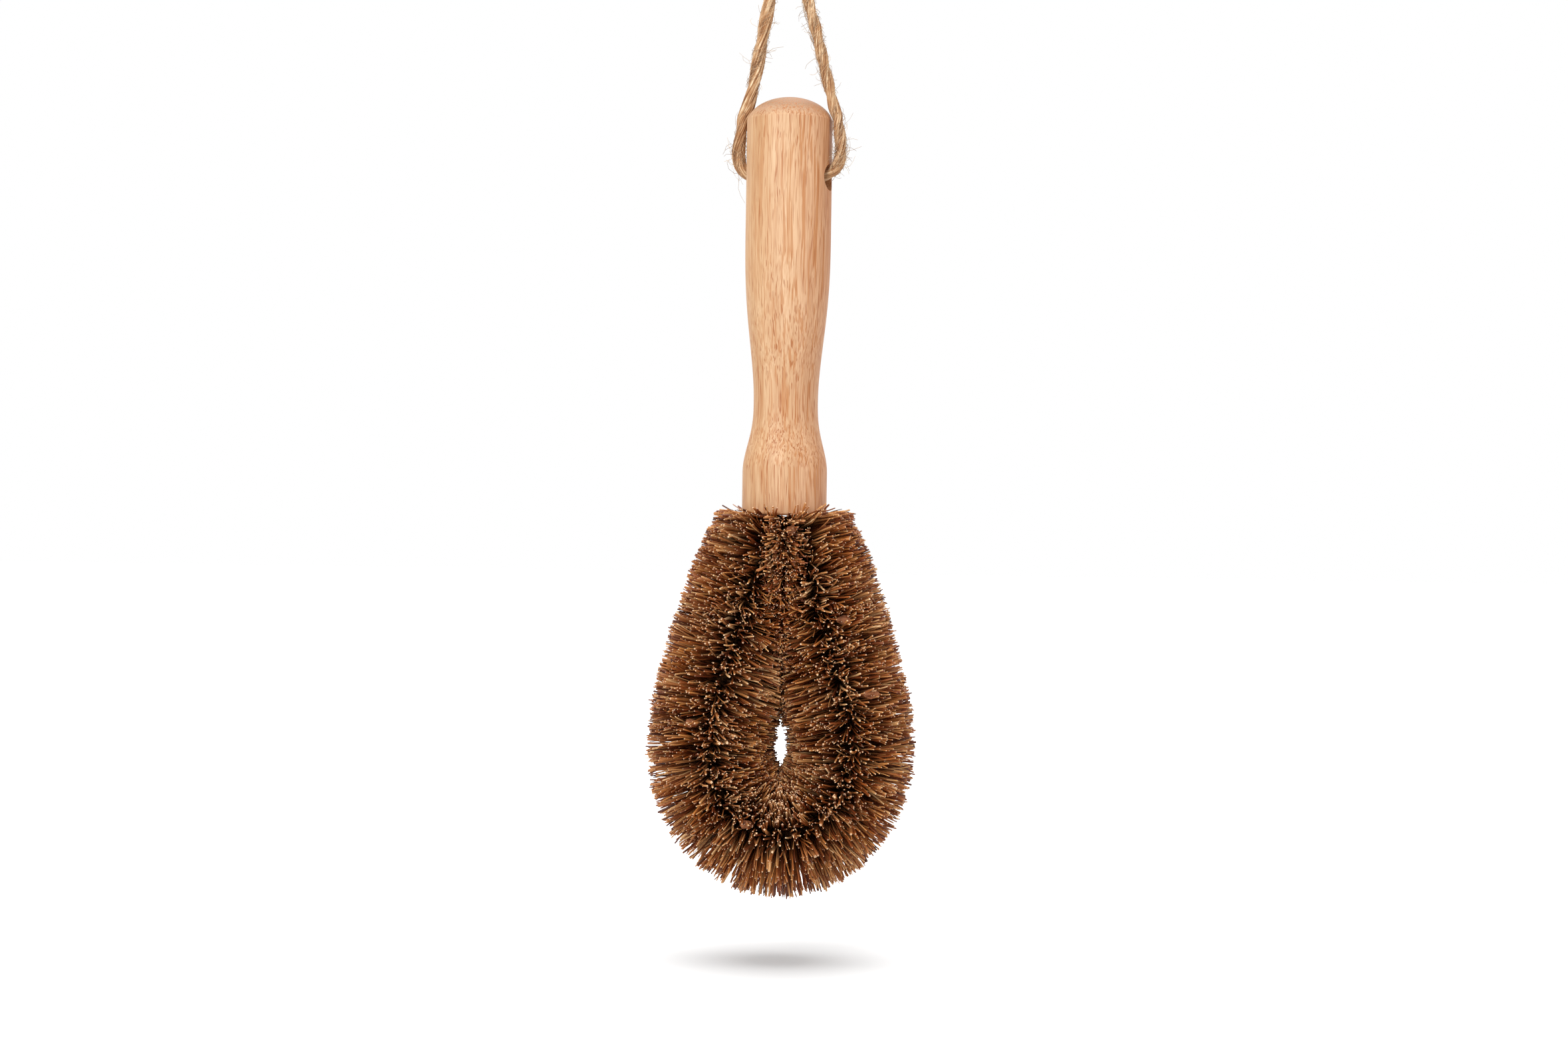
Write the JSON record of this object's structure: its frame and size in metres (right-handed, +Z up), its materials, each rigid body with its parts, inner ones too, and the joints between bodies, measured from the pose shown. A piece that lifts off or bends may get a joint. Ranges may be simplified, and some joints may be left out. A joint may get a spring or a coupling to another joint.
{
  "type": "vegetable brush",
  "caption": "Vegetable brush: plant fibre in a teardrop loop of twisted wire, on a turned wooden handle that hangs and swings from a loop of cord through its top.",
  "frame": {"origin": "the top of the cord's loop, under the knot, where a hook carries the brush", "axes": "+Z up, along the hanging handle; the bristle head is a flat loop in the XZ plane, and its front faces -Y"},
  "size_m": [0.0804, 0.0382, 0.3099],
  "materials": {
    "beech": "bare, fine sanded",
    "glue": "cured glue",
    "core_wire": "galvanised",
    "coconut_fibre": "stiff plant fibre",
    "jute_cord": "twisted, fuzzy"
  },
  "bodies": {
    "cord": {"cord_left": "jute_cord", "cord_right": "jute_cord", "cord_knot": "jute_cord"},
    "brush": {"handle": "beech", "glue_plug": "glue", "core_wire_a": "core_wire", "core_wire_b": "core_wire", "bristles_1": "coconut_fibre", "bristles_2": "coconut_fibre", "bristles_3": "coconut_fibre", "bristles_4": "coconut_fibre", "bristles_5": "coconut_fibre", "bristles_6": "coconut_fibre", "bristles_7": "coconut_fibre", "bristles_8": "coconut_fibre", "bristles_9": "coconut_fibre", "bristles_10": "coconut_fibre", "bristles_11": "coconut_fibre", "bristles_12": "coconut_fibre"}
  },
  "joints": [
    {"name": "brush_swing", "type": "hinge", "parent": "cord", "child": "brush", "pos_m": [0, 0, -0.0727], "axis": [0.9537, -0.3007, 0], "range_deg": [-150, 150]}
  ]
}
